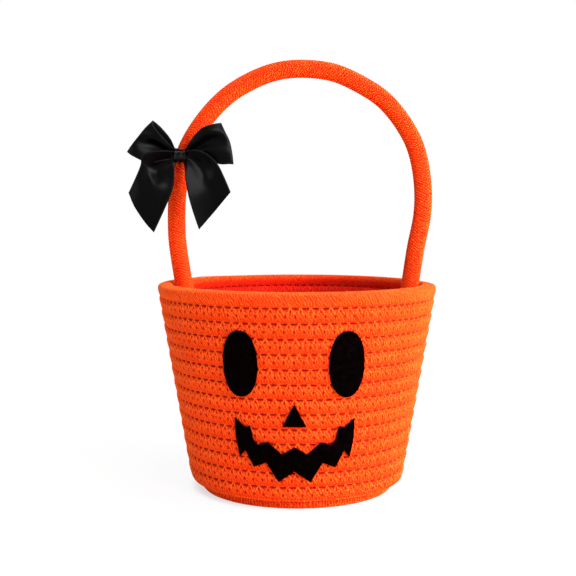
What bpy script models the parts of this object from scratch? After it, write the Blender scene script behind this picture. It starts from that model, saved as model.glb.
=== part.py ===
"""Round basket of coiled rope with a rope handle, a felt jack-o'-lantern face and a ribbon bow.

The basket stands on Z = 0 with its axis on Z, and its face looks along -Y. Lengths are in metres.
One rope is wound clockwise, seen from above: a flat spiral for the base, then 14 level rows that
lean outwards. Each turn steps up to the next row inside one short stretch at the left of the back.
"""
import math

import bmesh
import bpy
from mathutils import Vector
from mathutils.bvhtree import BVHTree

MM = 0.001

# Basket: radii are those of the rope's centre line
RIM_ROW_RADIUS = 84.3 * MM
WALL_ROWS = 14
BASE_TURNS = 5
WALL_LEAN = math.radians(9.6)
ROPE_ACROSS = 8.58 * MM
SEWN_GAP = 0.52 * MM
CORNER_ANGLE = math.radians(42.5)
FLOOR_CUT = 0.96 * MM
PIECE_GAP = 0.3 * MM

# Winding: stations round one turn, and the stretch where each turn climbs
STATIONS = 24
CLIMB_START = math.radians(200.0)
JOINT_STRETCH = math.radians(18.5)
CLIMB_STATIONS = 4
INNER_CLIMB_STATIONS = (9, 8, 6, 5, CLIMB_STATIONS)
ROPE_END_THINNEST = 0.3

# Handle: the rope's centre line in the XZ plane, from the left foot over the top to the right foot
HANDLE_ROPE = 11.6 * MM
HANDLE_SIDES = 12
HANDLE_STEPS = 3
FOOT_GAP = 0.9 * MM
FOOT_BOTTOM = 100.0 * MM
BEND_BOTTOM = 127.0 * MM
LEFT_LEG = ((-76.6, 153.0), (-77.6, 169.0), (-76.7, 190.0), (-72.2, 213.0), (-63.0, 230.5))
CROWN = ((-49.5, 246.5), (-35.0, 257.2), (-16.6, 265.3), (2.5, 267.9), (24.2, 265.2), (44.6, 255.7))
RIGHT_LEG = ((58.0, 245.7), (69.8, 230.5), (77.0, 215.0), (80.7, 195.0), (80.6, 175.0), (76.5, 153.0))

# Felt face: widths run round the wall from its middle
FACE_TURN = math.radians(-1.6)
FELT = 1.5 * MM
FELT_SLICE = 6.0 * MM
EYE_ANGLE = math.radians(21.9)
EYE_HEIGHT = 89.6 * MM
EYE_HALF_WIDTH = 10.8 * MM
EYE_HALF_HEIGHT = 19.8 * MM
EYE_POINTS = 28
NOSE_TOP = 66.3 * MM
NOSE_BOTTOM = 52.9 * MM
NOSE_HALF_WIDTH = 6.8 * MM
MOUTH_TOP = (
    (0.0, 40.4), (7.4, 35.7), (15.6, 43.1), (22.0, 41.0), (24.6, 44.1), (26.6, 52.4), (29.6, 51.0),
    (36.4, 56.8),
)
MOUTH_BOTTOM = (
    (35.9, 45.0), (33.5, 33.1), (29.7, 37.4), (24.4, 27.5), (16.7, 30.7), (9.4, 18.9), (0.0, 25.5),
)

# Bow: tied round the left leg of the handle
RIBBON = 1.0 * MM
RIBBON_STEPS = 4
BAND_HEIGHT = 213.0 * MM
BAND_INNER = 6.6 * MM
BAND_OUTER = 7.6 * MM
BAND_WIDTH = 9.0 * MM
BAND_SIDES = 24
KNOT_SIZE = (9.4 * MM, 7.4 * MM, 10.0 * MM)
KNOT_FRONT = 15.6 * MM
KNOT_ROUNDING = 1.8 * MM

# Ribbon edges: (X from the knot, Y, Z from the knot), in millimetres
LOOP_LEFT_UPPER = (
    (-5.2, -13.0, 3.2), (-11.0, -18.5, 13.5), (-16.6, -17.5, 20.6), (-17.8, -14.0, 21.3),
    (-14.2, -10.8, 18.0), (-5.2, -10.3, 3.6),
)
LOOP_LEFT_LOWER = (
    (-5.2, -13.0, -3.0), (-18.0, -20.5, -6.0), (-32.0, -18.0, -0.8), (-34.7, -14.0, 1.4),
    (-27.5, -10.8, -3.0), (-5.2, -10.3, -2.6),
)
LOOP_RIGHT_UPPER = (
    (5.2, -12.6, 3.4), (8.6, -15.6, 12.6), (15.8, -17.2, 18.0), (23.4, -15.8, 20.0),
    (24.8, -13.2, 19.8), (21.8, -10.8, 18.4), (12.2, -10.3, 13.0), (5.2, -10.3, 3.6),
)
LOOP_RIGHT_LOWER = (
    (5.2, -12.6, -0.8), (11.4, -14.2, -0.6), (18.0, -15.6, -2.4), (29.0, -15.2, -7.4),
    (31.4, -13.2, -7.0), (28.4, -10.8, -6.4), (16.4, -10.3, -0.4), (5.2, -10.3, -0.4),
)
TAIL_LEFT_OUTER = (
    (-5.2, -13.0, -4.4), (-15.8, -15.0, -6.6), (-25.8, -16.0, -10.2), (-31.8, -15.0, -17.0),
    (-34.6, -13.0, -24.0),
)
TAIL_LEFT_INNER = (
    (-4.9, -13.0, -5.6), (-5.7, -14.5, -13.0), (-7.3, -15.5, -22.5), (-11.3, -14.5, -34.0),
    (-19.0, -12.0, -49.8),
)
TAIL_RIGHT_INNER = (
    (5.2, -14.6, -5.8), (3.2, -15.6, -9.4), (3.0, -16.4, -15.5), (3.9, -16.4, -23.5),
    (5.9, -15.4, -33.0), (10.1, -12.5, -48.8),
)
TAIL_RIGHT_OUTER = (
    (5.4, -14.6, 1.4), (10.5, -17.6, 2.3), (15.5, -19.2, 0.8), (22.4, -19.0, -5.5),
    (26.6, -17.4, -12.6), (30.9, -13.5, -23.8),
)

# Colours: red, green, blue, roughness
ORANGE_ROPE = (0.82, 0.085, 0.008, 0.75)
BLACK_FELT = (0.008, 0.007, 0.008, 0.95)
BLACK_RIBBON = (0.010, 0.010, 0.012, 0.35)

# Sizes that follow from the driving ones
ROPE_APOTHEM = ROPE_ACROSS / 2
ROPE_CORNER = ROPE_APOTHEM / math.cos(math.radians(30.0))
PITCH = ROPE_ACROSS + SEWN_GAP
WALL_ANGLE = math.pi / 2 - WALL_LEAN
WALL_ROLL = WALL_ANGLE - math.radians(60.0)
BASE_HEIGHT = ROPE_CORNER - FLOOR_CUT
BOTTOM_ROW_RADIUS = RIM_ROW_RADIUS - (WALL_ROWS - 1) * PITCH * math.cos(WALL_ANGLE)
STATION_ANGLE = (2 * math.pi - JOINT_STRETCH) / (STATIONS - 1)


def material(name, colour):
    """Return a new material of one colour and roughness."""
    made = bpy.data.materials.new(name)
    made.use_nodes = True
    shader = made.node_tree.nodes["Principled BSDF"]
    shader.inputs["Base Color"].default_value = (*colour[:3], 1.0)
    shader.inputs["Roughness"].default_value = colour[3]
    shader.inputs["Metallic"].default_value = 0.0
    return made


def new_object(name, mesh, colour, smooth_below=None):
    """Link a mesh as an object with its own material."""
    piece = bpy.data.objects.new(name, mesh)
    mesh.materials.append(material(name, colour))
    if smooth_below:
        mesh.shade_smooth()
        mesh.set_sharp_from_angle(angle=smooth_below)
    bpy.context.scene.collection.objects.link(piece)
    return piece


def from_bmesh(name, bm, colour, smooth_below=None):
    """Turn a bmesh whose faces point out into an object."""
    bmesh.ops.recalc_face_normals(bm, faces=bm.faces)
    if bm.calc_volume(signed=True) < 0.0:
        bmesh.ops.reverse_faces(bm, faces=bm.faces)
    mesh = bpy.data.meshes.new(name)
    bm.to_mesh(mesh)
    bm.free()
    return new_object(name, mesh, colour, smooth_below)


def skin(name, rings, colour):
    """Close a row of equal rings of points into one tube with flat ends."""
    bm = bmesh.new()
    rows = [[bm.verts.new(point) for point in ring] for ring in rings]
    count = len(rows[0])
    for one, other in zip(rows, rows[1:]):
        for k in range(count):
            bm.faces.new((one[k], one[(k + 1) % count], other[(k + 1) % count], other[k]))
    bm.faces.new(rows[0])
    bm.faces.new(rows[-1])
    return from_bmesh(name, bm, colour, math.radians(50.0))


def smooth_step(share):
    """Rise from 0 to 1 with level ends."""
    share = min(max(share, 0.0), 1.0)
    return share * share * (3.0 - 2.0 * share)


def hexagon_reach(turn):
    """Return how far the rope's six-sided section reaches along a direction, from a flat's own."""
    from_flat = (turn + math.radians(30.0)) % math.radians(60.0) - math.radians(30.0)
    return ROPE_CORNER * math.cos(math.radians(30.0) - abs(from_flat))


def sewn_step(angle, roll_before, roll):
    """Return the distance along an angle that leaves the sewn gap between two rolled sections."""
    best = None
    for k in range(6):
        for flat in (roll_before, roll):
            normal = flat + k * math.radians(60.0)
            along = math.cos(normal - angle)
            if along > 0.5:
                reach = hexagon_reach(normal - roll_before) + hexagon_reach(normal - roll)
                step = (reach + SEWN_GAP) / along
                best = step if best is None else min(best, step)
    return best


def section(centre, outward, roll, thickness=1.0):
    """Return the six corners of the rope's section, flattened along its upper flat's direction."""
    corners = []
    squash = roll + math.radians(60.0)
    for k in range(6):
        turn = roll + math.radians(30.0 + 60.0 * k)
        along = ROPE_CORNER * math.cos(turn)
        up = ROPE_CORNER * math.sin(turn)
        flat = along * math.cos(squash) + up * math.sin(squash)
        along += (thickness - 1.0) * flat * math.cos(squash)
        up += (thickness - 1.0) * flat * math.sin(squash)
        corners.append(centre + outward * along + Vector((0.0, 0.0, up)))
    return corners


def azimuth(station):
    """Return a station's direction, which runs clockwise seen from above."""
    return CLIMB_START - STATION_ANGLE * (station % STATIONS)


def polar_section(station, radius, height, roll, thickness=1.0):
    """Return the rope's section at a station, in the upright plane through the axis."""
    turn = azimuth(station)
    outward = Vector((math.cos(turn), math.sin(turn), 0.0))
    return section(outward * radius + Vector((0.0, 0.0, height)), outward, roll, thickness)


def rope_start(radius):
    """Return the sections of the rope's first bend, which starts on the axis and turns back."""
    bend = 0.59 * PITCH
    start = Vector((-0.40 * PITCH, 0.06 * PITCH, 0.0))
    turn_centre = Vector((0.15 * PITCH, start.y - bend, 0.0))
    bend_steps = 6
    path = [(start, Vector((0.0, 1.0, 0.0)))]
    for k in range(bend_steps + 1):
        angle = math.radians(90.0) - math.pi * k / bend_steps
        outward = Vector((math.cos(angle), math.sin(angle), 0.0))
        path.append((turn_centre + outward * bend, outward))
    turned = CLIMB_START - math.radians(90.0)
    rings = []
    for point, outward in path:
        place = Vector((
            point.x * math.cos(turned) - point.y * math.sin(turned),
            point.x * math.sin(turned) + point.y * math.cos(turned),
            BASE_HEIGHT,
        ))
        out = Vector((
            outward.x * math.cos(turned) - outward.y * math.sin(turned),
            outward.x * math.sin(turned) + outward.y * math.cos(turned),
            0.0,
        ))
        rings.append(section(place, out, 0.0))
    lead_stations = 12
    end_radius = path[-1][0].length
    for k in range(1, lead_stations):
        share = k / lead_stations
        grown = end_radius + (radius - end_radius) * smooth_step(share)
        rings.append(polar_section(STATIONS - lead_stations + k, grown, BASE_HEIGHT, 0.0))
    return rings


def winding():
    """Return the sections of the whole rope and the place where its base ends."""
    corner = sewn_step(CORNER_ANGLE, 0.0, WALL_ROLL)
    base_edge = BOTTOM_ROW_RADIUS - corner * math.cos(CORNER_ANGLE)
    first = 1.21 * PITCH
    base_pitch = (base_edge - first) / BASE_TURNS
    rings = rope_start(first)
    places = []
    for turn in range(BASE_TURNS):
        for j in range(STATIONS):
            climb = smooth_step(j / INNER_CLIMB_STATIONS[turn])
            radius = first + base_pitch * (turn + climb)
            places.append((radius, BASE_HEIGHT, 0.0))
            rings.append(polar_section(j, radius, BASE_HEIGHT, 0.0))
    base_end = len(rings)
    for row in range(WALL_ROWS):
        for j in range(STATIONS):
            climb = smooth_step(j / CLIMB_STATIONS)
            below_radius, below_height, below_roll = places[-STATIONS]
            angle, roll = WALL_ANGLE, WALL_ROLL
            if row == 0:
                angle = CORNER_ANGLE * climb
                roll = WALL_ROLL * climb
            elif row == 1:
                angle = CORNER_ANGLE + (WALL_ANGLE - CORNER_ANGLE) * climb
            step = sewn_step(angle, below_roll, roll)
            radius = below_radius + step * math.cos(angle)
            height = below_height + step * math.sin(angle)
            places.append((radius, height, roll))
            rings.append(polar_section(j, radius, height, roll))
    top = places[-1][1] * math.sin(WALL_ANGLE) + places[-1][0] * math.cos(WALL_ANGLE) + ROPE_APOTHEM
    for j in range(CLIMB_STATIONS):
        radius, height, roll = places[-STATIONS]
        below = height * math.sin(WALL_ANGLE) + radius * math.cos(WALL_ANGLE) + ROPE_APOTHEM
        thickness = min((top - below - SEWN_GAP) / ROPE_ACROSS, 1.0)
        if thickness < ROPE_END_THINNEST:
            break
        step = SEWN_GAP + ROPE_APOTHEM * (1.0 + thickness)
        radius += step * math.cos(WALL_ANGLE)
        height += step * math.sin(WALL_ANGLE)
        places.append((radius, height, roll))
        rings.append(polar_section(j, radius, height, roll, thickness))
    return rings, base_end


def between(one, other, from_middle):
    """Return a ring near the middle of the straight stretch between two rings."""
    length = sum(((b - a).length for a, b in zip(one, other)), 0.0) / len(one)
    share = 0.5 + from_middle / length
    return [a.lerp(b, share) for a, b in zip(one, other)]


def least_gap(rings):
    """Return the least distance between the corners of one turn and the turns after it."""
    least = None
    skip = STATIONS // 2
    for i in range(len(rings) - skip - 1):
        near = rings[i + skip:i + skip + STATIONS + 2]
        if len(near) < 2:
            break
        points = [point for ring in near for point in ring]
        faces = []
        for r in range(len(near) - 1):
            for k in range(6):
                one, other = r * 6 + k, r * 6 + (k + 1) % 6
                faces.append((one, other, other + 6, one + 6))
        tree = BVHTree.FromPolygons(points, faces)
        for k in range(6):
            for share in (0.0, 0.5):
                point = rings[i][k].lerp(rings[i][(k + 1) % 6], share)
                distance = tree.find_nearest(point)[3]
                least = distance if least is None else min(least, distance)
    return least


def cut_flat(piece):
    """Cut the turns that stand on the ground off level with it."""
    reach = 3 * RIM_ROW_RADIUS
    bm = bmesh.new()
    bmesh.ops.create_cube(bm, size=1.0)
    bmesh.ops.scale(bm, verts=bm.verts, vec=(reach, reach, ROPE_ACROSS))
    bmesh.ops.translate(bm, verts=bm.verts, vec=(0.0, 0.0, -ROPE_ACROSS / 2))
    cutter = from_bmesh("ground_" + piece.name, bm, ORANGE_ROPE)
    cutter.hide_render = True
    cutter.display_type = "WIRE"
    modifier = piece.modifiers.new("ground", "BOOLEAN")
    modifier.operation = "DIFFERENCE"
    modifier.solver = "EXACT"
    modifier.object = cutter


def make_basket():
    """Make the rope of the base and the rope of the wall, which meet end to end."""
    rings, base_end = winding()
    print("least gap between turns, mm:", round(least_gap(rings) / MM, 3))
    half_gap = PIECE_GAP / 2
    base_stop = between(rings[base_end - 1], rings[base_end], -half_gap)
    wall_go = between(rings[base_end - 1], rings[base_end], half_gap)
    cut_flat(skin("base_coil", rings[:base_end] + [base_stop], ORANGE_ROPE))
    cut_flat(skin("wall_coil", [wall_go] + rings[base_end:], ORANGE_ROPE))


def wall_radius(height):
    """Return the radius of the wall's rope centre line at a height."""
    bottom = BASE_HEIGHT + sewn_step(CORNER_ANGLE, 0.0, WALL_ROLL) * math.sin(CORNER_ANGLE)
    return BOTTOM_ROW_RADIUS + (height - bottom) * math.tan(WALL_LEAN)


def spline(points, steps):
    """Return points along a smooth curve through the given ones, with the given ones among them."""
    ends = [points[0] * 2 - points[1], *points, points[-1] * 2 - points[-2]]
    curve = []
    for a, b, c, d in zip(ends, ends[1:], ends[2:], ends[3:]):
        for k in range(steps):
            t = k / steps
            curve.append(0.5 * (
                2 * b + (c - a) * t + (2 * a - 5 * b + 4 * c - d) * t ** 2
                + (3 * b - a - 3 * c + d) * t ** 3
            ))
    curve.append(points[-1])
    return curve


def handle_route():
    """Return the handle's centre line: feet inside the wall, then the legs and the crown."""
    clear = ROPE_CORNER * math.cos(WALL_LEAN) + HANDLE_ROPE / 2 + FOOT_GAP
    foot = [Vector((wall_radius(z) - clear, 0.0, z)) for z in (FOOT_BOTTOM, BEND_BOTTOM)]
    left = [Vector((-point.x, 0.0, point.z)) for point in foot]
    arch = [Vector((x * MM, 0.0, z * MM)) for x, z in LEFT_LEG + CROWN + RIGHT_LEG]
    return left + arch + foot[::-1]


def handle_sections(route):
    """Return the handle's centre points, directions and sections along the whole route."""
    curve = spline(route, HANDLE_STEPS)
    straights = [(b - a).normalized() for a, b in zip(curve, curve[1:])]
    sections = []
    for i, point in enumerate(curve):
        along = (straights[max(i - 1, 0)] + straights[min(i, len(straights) - 1)]).normalized()
        side = Vector((along.z, 0.0, -along.x))
        depth = Vector((0.0, 1.0, 0.0))
        ring = []
        for k in range(HANDLE_SIDES):
            turn = 2 * math.pi * (k + 0.5) / HANDLE_SIDES
            ring.append(point + (side * math.cos(turn) + depth * math.sin(turn)) * HANDLE_ROPE / 2)
        sections.append((along, ring))
    return sections


def handle_piece(name, sections, first, last):
    """Make the stretch of the handle's rope between two of the route's own points."""
    part = sections[first * HANDLE_STEPS:last * HANDLE_STEPS + 1]
    rings = [ring for _, ring in part]
    half_gap = PIECE_GAP / 2
    rings[0] = [point + part[0][0] * half_gap for point in rings[0]]
    rings[-1] = [point - part[-1][0] * half_gap for point in rings[-1]]
    skin(name, rings, ORANGE_ROPE)


def make_handle():
    """Make the handle's rope as feet sewn in the wall, two bends and the arch."""
    route = handle_route()
    last = len(route) - 1
    sections = handle_sections(route)
    handle_piece("handle_foot_left", sections, 0, 1)
    handle_piece("handle_bend_left", sections, 1, 2)
    handle_piece("handle_arch", sections, 2, last - 2)
    handle_piece("handle_bend_right", sections, last - 2, last - 1)
    handle_piece("handle_foot_right", sections, last - 1, last)


def felt(name, outline, middle):
    """Make a felt shape that bends round the wall, 0.3 mm off its crests."""
    bm = bmesh.new()
    face = bm.faces.new([bm.verts.new((x, 0.0, z)) for x, z in outline])
    grown = bmesh.ops.extrude_face_region(bm, geom=[face])
    for part in grown["geom"]:
        if isinstance(part, bmesh.types.BMVert):
            part.co.y = FELT
    slices = int(max(x for x, _ in outline) / FELT_SLICE) + 1
    for k in range(-slices, slices + 1):
        geometry = bm.verts[:] + bm.edges[:] + bm.faces[:]
        place = (k * FELT_SLICE, 0.0, 0.0)
        bmesh.ops.bisect_plane(bm, geom=geometry, plane_co=place, plane_no=(1.0, 0.0, 0.0))
    bmesh.ops.triangulate(bm, faces=bm.faces)
    lift = ROPE_CORNER * math.cos(math.radians(30.0) - WALL_ROLL) / math.cos(WALL_LEAN) + PIECE_GAP
    for vert in bm.verts:
        radius = wall_radius(vert.co.z) + lift + vert.co.y
        turn = middle + vert.co.x / radius - math.pi / 2
        vert.co = Vector((radius * math.cos(turn), radius * math.sin(turn), vert.co.z))
    from_bmesh(name, bm, BLACK_FELT, math.radians(40.0))


def make_face():
    """Make two oval eyes, a nose and a grin with teeth."""
    oval = []
    for k in range(EYE_POINTS):
        turn = 2 * math.pi * k / EYE_POINTS
        oval.append((EYE_HALF_WIDTH * math.cos(turn), EYE_HEIGHT + EYE_HALF_HEIGHT * math.sin(turn)))
    felt("felt_eye_left", oval, FACE_TURN - EYE_ANGLE)
    felt("felt_eye_right", oval, FACE_TURN + EYE_ANGLE)
    nose = ((0.0, NOSE_TOP), (-NOSE_HALF_WIDTH, NOSE_BOTTOM), (NOSE_HALF_WIDTH, NOSE_BOTTOM))
    felt("felt_nose", nose, FACE_TURN)
    half = [(x * MM, z * MM) for x, z in MOUTH_TOP + MOUTH_BOTTOM]
    other_half = [(-x, z) for x, z in half[-2:0:-1]]
    felt("felt_mouth", half + other_half, FACE_TURN)


def knot_place(route):
    """Return the point and direction of the handle's centre line where the bow is tied."""
    curve = spline(route, 16)
    nearest = min(curve[:len(curve) // 2], key=lambda point: abs(point.z - BAND_HEIGHT))
    at = curve.index(nearest)
    return nearest, (curve[at + 1] - curve[at - 1]).normalized()


def make_band(centre, along):
    """Make the ribbon's turn round the handle."""
    side = Vector((along.z, 0.0, -along.x))
    depth = Vector((0.0, 1.0, 0.0))
    half = along * BAND_WIDTH / 2
    bm = bmesh.new()
    profile = ((BAND_INNER, -half), (BAND_OUTER, -half), (BAND_OUTER, half), (BAND_INNER, half))
    rings = []
    for radius, shift in profile:
        ring = []
        for k in range(BAND_SIDES):
            turn = 2 * math.pi * k / BAND_SIDES
            out = side * math.cos(turn) + depth * math.sin(turn)
            ring.append(bm.verts.new(centre + shift + out * radius))
        rings.append(ring)
    for one, other in zip(rings, rings[1:] + rings[:1]):
        for k in range(BAND_SIDES):
            after = (k + 1) % BAND_SIDES
            bm.faces.new((one[k], one[after], other[after], other[k]))
    from_bmesh("bow_band", bm, BLACK_RIBBON, math.radians(40.0))


def make_knot(centre):
    """Make the knot in front of the handle."""
    bm = bmesh.new()
    bmesh.ops.create_cube(bm, size=1.0)
    bmesh.ops.scale(bm, verts=bm.verts, vec=KNOT_SIZE)
    bmesh.ops.bevel(
        bm, geom=bm.edges[:] + bm.verts[:], offset=KNOT_ROUNDING, segments=3, profile=0.5,
        affect="EDGES",
    )
    shift = Vector((centre.x, KNOT_SIZE[1] / 2 - KNOT_FRONT, centre.z))
    bmesh.ops.translate(bm, verts=bm.verts, vec=shift)
    from_bmesh("bow_knot", bm, BLACK_RIBBON, math.radians(60.0))


def make_ribbon(name, edge, other_edge, centre):
    """Make a stretch of ribbon between two edges given from the knot."""
    across = 4
    sides = []
    for points in (edge, other_edge):
        knots = [Vector((centre.x + x * MM, y * MM, centre.z + z * MM)) for x, y, z in points]
        sides.append(spline(knots, RIBBON_STEPS))
    grid = [[a.lerp(b, j / across) for j in range(across + 1)] for a, b in zip(*sides)]
    bm = bmesh.new()
    layers = []
    for side in (-0.5, 0.5):
        layer = []
        for i, row in enumerate(grid):
            line = []
            for j, point in enumerate(row):
                down = grid[min(i + 1, len(grid) - 1)][j] - grid[max(i - 1, 0)][j]
                right = row[min(j + 1, across)] - row[max(j - 1, 0)]
                normal = down.cross(right).normalized()
                line.append(bm.verts.new(point + normal * side * RIBBON))
            layer.append(line)
        layers.append(layer)
    for layer in layers:
        for i in range(len(grid) - 1):
            for j in range(across):
                bm.faces.new((layer[i][j], layer[i][j + 1], layer[i + 1][j + 1], layer[i + 1][j]))
    back, front = layers
    for i in range(len(grid) - 1):
        for j in (0, across):
            bm.faces.new((back[i][j], back[i + 1][j], front[i + 1][j], front[i][j]))
    for i in (0, len(grid) - 1):
        for j in range(across):
            bm.faces.new((back[i][j], back[i][j + 1], front[i][j + 1], front[i][j]))
    from_bmesh(name, bm, BLACK_RIBBON, math.radians(60.0))


def make_bow():
    """Make the bow: a band, a knot, two loops and two tails."""
    centre, along = knot_place(handle_route())
    make_band(centre, along)
    make_knot(centre)
    make_ribbon("bow_loop_left", LOOP_LEFT_UPPER, LOOP_LEFT_LOWER, centre)
    make_ribbon("bow_loop_right", LOOP_RIGHT_UPPER, LOOP_RIGHT_LOWER, centre)
    make_ribbon("bow_tail_left", TAIL_LEFT_OUTER, TAIL_LEFT_INNER, centre)
    make_ribbon("bow_tail_right", TAIL_RIGHT_INNER, TAIL_RIGHT_OUTER, centre)


def main():
    """Clear the scene and make every piece."""
    for old in list(bpy.data.objects):
        bpy.data.objects.remove(old)
    make_basket()
    make_handle()
    make_face()
    make_bow()


if __name__ == "__main__":
    main()
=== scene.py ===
"""Looks of a coiled rope basket with a rope handle, a felt face and a ribbon bow.

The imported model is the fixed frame. Lengths are in metres, and the face looks along -Y.
"""
import math

import bmesh
import bpy
from mathutils import Matrix, Vector, noise


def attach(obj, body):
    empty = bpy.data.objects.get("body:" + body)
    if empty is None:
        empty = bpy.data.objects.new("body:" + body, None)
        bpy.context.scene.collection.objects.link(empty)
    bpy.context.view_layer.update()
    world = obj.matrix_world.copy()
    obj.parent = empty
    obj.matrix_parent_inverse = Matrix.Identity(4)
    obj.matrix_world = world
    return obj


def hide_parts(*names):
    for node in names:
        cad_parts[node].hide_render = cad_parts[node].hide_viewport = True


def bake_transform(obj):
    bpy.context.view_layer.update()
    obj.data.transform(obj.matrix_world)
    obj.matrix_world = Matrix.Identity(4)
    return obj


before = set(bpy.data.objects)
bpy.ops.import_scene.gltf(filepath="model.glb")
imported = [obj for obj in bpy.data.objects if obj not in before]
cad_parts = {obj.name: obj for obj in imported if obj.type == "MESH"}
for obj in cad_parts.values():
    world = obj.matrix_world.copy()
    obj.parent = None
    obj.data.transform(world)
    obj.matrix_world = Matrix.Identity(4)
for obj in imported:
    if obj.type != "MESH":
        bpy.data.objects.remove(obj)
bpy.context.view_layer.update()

bl_info = {
    "name": "Coiled Rope Basket",
    "version": (1, 0, 0),
    "blender": (4, 5, 0),
    "location": "View3D > Sidebar > Rope Basket",
    "description": "Builds the rope, felt and ribbon of a coiled basket",
    "category": "Object",
}

MM = 0.001

# Winding of the basket's rope, as in the solids
WALL_ROWS = 14
BASE_TURNS = 5
RIM_ROW_RADIUS = 84.3 * MM
PITCH = 9.1 * MM
WALL_LEAN = math.radians(9.6)
CORNER_ANGLE = math.radians(42.5)
CORNER_STEP = 10.16 * MM
BASE_HEIGHT = 3.99 * MM
TURN_STEPS = 240
CLIMB_START = math.radians(200.0)
CLIMB_SPAN = math.radians(59.4)
INNER_SPANS = tuple(math.radians(span) for span in (133.7, 118.8, 89.1, 74.3, 59.4))
WALL_ANGLE = math.pi / 2 - WALL_LEAN
BOTTOM_ROW_RADIUS = RIM_ROW_RADIUS - (WALL_ROWS - 1) * PITCH * math.cos(WALL_ANGLE)
FIRST_TURN_RADIUS = 1.21 * PITCH

# The rope's tip and the hook that it starts with, in the hook's own turned axes
TIP = Vector((-0.60 * PITCH, 0.06 * PITCH, 0.0))
TIP_STEPS = 8
HOOK_RADIUS = 0.59 * PITCH
HOOK_ACROSS = 0.15 * PITCH
HOOK_STEPS = 24

# Section of the basket's rope, the rim's lower top and the thin end
BASE_SIDES = 16
WALL_SIDES = 24
HALF_ROPE = 0.503
RIM_DROP = 0.2
RIM_DROP_STEPS = 30
THINNEST_END = 0.22

# Search for the base's next turn, across and along the rope
NEXT_TURN_STEPS = 10
NEXT_TURN_PITCHES = (0.6, 1.9)
NEXT_TURN_BESIDE = 2.4 * MM
NEXT_TURN_OVERLAP = 0.06 * MM

# Marks of the sewing, in millimetres below a seam, and a place with none
UPPER_HOLE_DOWN = 1.7
LOWER_HOLE_DOWN = 4.4
SEAM_DOWN = 0.1
PLAIN_DOWN = 2.9
# The rim's place on the stitch map, in rows, and the turn to the base's seams
RIM_ROWS_DOWN = 2.5
BASE_SEAM_TURN = 0.25
LOWER_FACE = 0.25
# Thread: its least share of the rope's depth, and its twist between points
THREAD_DEPTH = 0.74
THREAD_TWIST = 0.8
THREAD_SIDES = 4
STRANDS_PER_ROW = 2.6

# Handle: the rope's centre line, as in the solids, in millimetres
HANDLE_LINE = (
    (-68.06, 100.0), (-72.63, 127.0), (-76.6, 153.0), (-77.6, 169.0), (-76.7, 190.0),
    (-72.2, 213.0), (-63.0, 230.5), (-49.5, 246.5), (-35.0, 257.2), (-16.6, 265.3), (2.5, 267.9),
    (24.2, 265.2), (44.6, 255.7), (58.0, 245.7), (69.8, 230.5), (77.0, 215.0), (80.7, 195.0),
    (80.6, 175.0), (76.5, 153.0), (72.63, 127.0), (68.06, 100.0),
)
HANDLE_STEPS = 80
# Its plait's strands and columns
HANDLE_STRAND = 1.75 * MM
HANDLE_COLUMNS = 4
HANDLE_COLUMN_SIDES = 12
HANDLE_OFFSET = 0.161
HANDLE_SLOPE = 2.6
HANDLE_RELIEF = 0.26
PLAIT_EDGE = 0.6
PLAIT_RISE = 0.4

# Bow: the place that it is tied at, then its band and its knot in millimetres
KNOT = Vector((-72.2, 0.0, 213.0)) * MM
KNOT_ALONG = Vector((0.3193, 0.0, 0.9477))
BAND_RADIUS = 7.05
BAND_HALF_THICKNESS = 0.45
BAND_HALF_WIDTH = 3.4
BAND_SHIFT = 0.7
KNOT_RADIUS = 3.6
KNOT_LENGTH = 7.2
KNOT_LEFT = 1.5
KNOT_FORWARD = 12.6
KNOT_DOWN = 1.6

# Felt face: widths run round the wall from its middle, in millimetres
FACE_TURN = math.radians(-1.6)
EYE_ANGLE = math.radians(21.9)
EYE_HEIGHT = 89.6
EYE_HALF_WIDTH = 10.8
EYE_HALF_HEIGHT = 19.6
EYE_SHIFT = -0.55
EYE_LEAN = 0.045
EYE_SQUARENESS = 2.15
EYE_CORNERS = 72
NOSE = ((0.0, 66.3), (-6.8, 52.9), (6.8, 52.9))
MOUTH_HALF = (
    (0.0, 40.4), (7.4, 35.7), (15.6, 43.1), (22.0, 41.0), (24.6, 44.1), (26.6, 52.4),
    (29.6, 51.0), (36.4, 56.8), (35.9, 45.0), (33.5, 33.1), (29.7, 37.4), (24.4, 27.5),
    (16.7, 30.7), (9.4, 18.9), (0.0, 25.5),
)

# Felt: its cuts along the wall's curve, its sag at the seams and its fibres, in millimetres
FELT_CUTS_ACROSS = range(-16, 17)
FELT_CUT_WIDTH = 2.5
FELT_CUTS_UP = range(0, 60)
FELT_CUT_HEIGHT = 2.275
FELT_FRAY = 0.22
FELT_LIFT = 0.1
FELT_SAG = 0.35
FIRST_SEAM_HEIGHT = 10.86 * MM
FIBRE_STEP = 0.32
FIBRE_LENGTH = 0.35
FIBRE_LENGTH_RANGE = 1.1
FIBRE_WILDNESS = 1.6
FIBRE_MIDDLE = 0.8
FIBRE_THICKNESS = (0.08, 0.02)

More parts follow.
